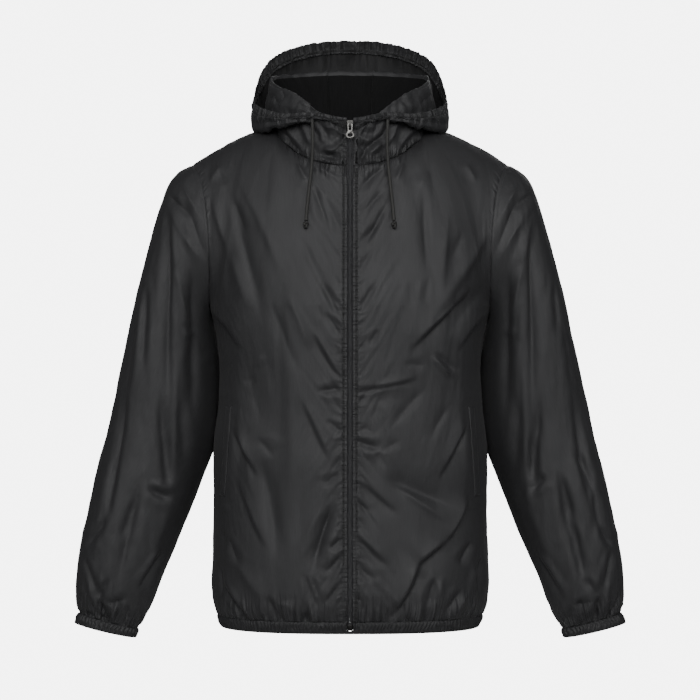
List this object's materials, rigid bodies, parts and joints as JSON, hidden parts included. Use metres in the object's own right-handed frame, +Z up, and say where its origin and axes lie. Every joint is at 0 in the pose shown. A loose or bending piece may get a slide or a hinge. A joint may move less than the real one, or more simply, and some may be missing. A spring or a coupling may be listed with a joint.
{
  "type": "jacket",
  "caption": "Hooded windbreaker jacket with a full-length front zip, drawcord hood, side pockets, and gathered elastic cuffs and hem, in its worn shape with nobody in it.",
  "frame": {"origin": "base of the neck, midway between the two shoulder seams, at the height where the wearer's shoulders carry the jacket", "axes": "+Z up, -Y out of the jacket's front, +X towards the wearer's left sleeve"},
  "size_m": [0.7668, 0.3183, 0.85],
  "materials": {
    "cloth": "thin plain-weave taffeta, soft satin sheen",
    "elastic_band": "taffeta gathered over elastic",
    "zip_tape": "matt woven tape",
    "zip_coil": "satin nylon coil",
    "zip_metal": "satin gunmetal",
    "cord": "matt braid"
  },
  "bodies": {
    "jacket": {"back": "cloth", "cuff_left": "elastic_band", "cuff_right": "elastic_band", "drawcord_knot_left": "cord", "drawcord_knot_right": "cord", "drawcord_left": "cord", "drawcord_right": "cord", "front_left": "cloth", "front_right": "cloth", "hem_band": "elastic_band", "hood_casing": "cloth", "hood_centre_strip": "cloth", "hood_side_left": "cloth", "hood_side_right": "cloth", "pocket_welt_left": "cloth", "pocket_welt_right": "cloth", "sleeve_left": "cloth", "sleeve_right": "cloth", "zip_box": "zip_metal", "zip_chain": "zip_coil", "zip_slider": "zip_metal", "zip_tape_left": "zip_tape", "zip_tape_right": "zip_tape"},
    "pull_tab": {"zip_pull": "zip_metal"}
  },
  "joints": [
    {"name": "pull_tab_swing", "type": "hinge", "parent": "jacket", "child": "pull_tab", "pos_m": [0, -0.10925, 0.0055], "axis": [-1, 0, 0], "range_deg": [0, 170]}
  ]
}
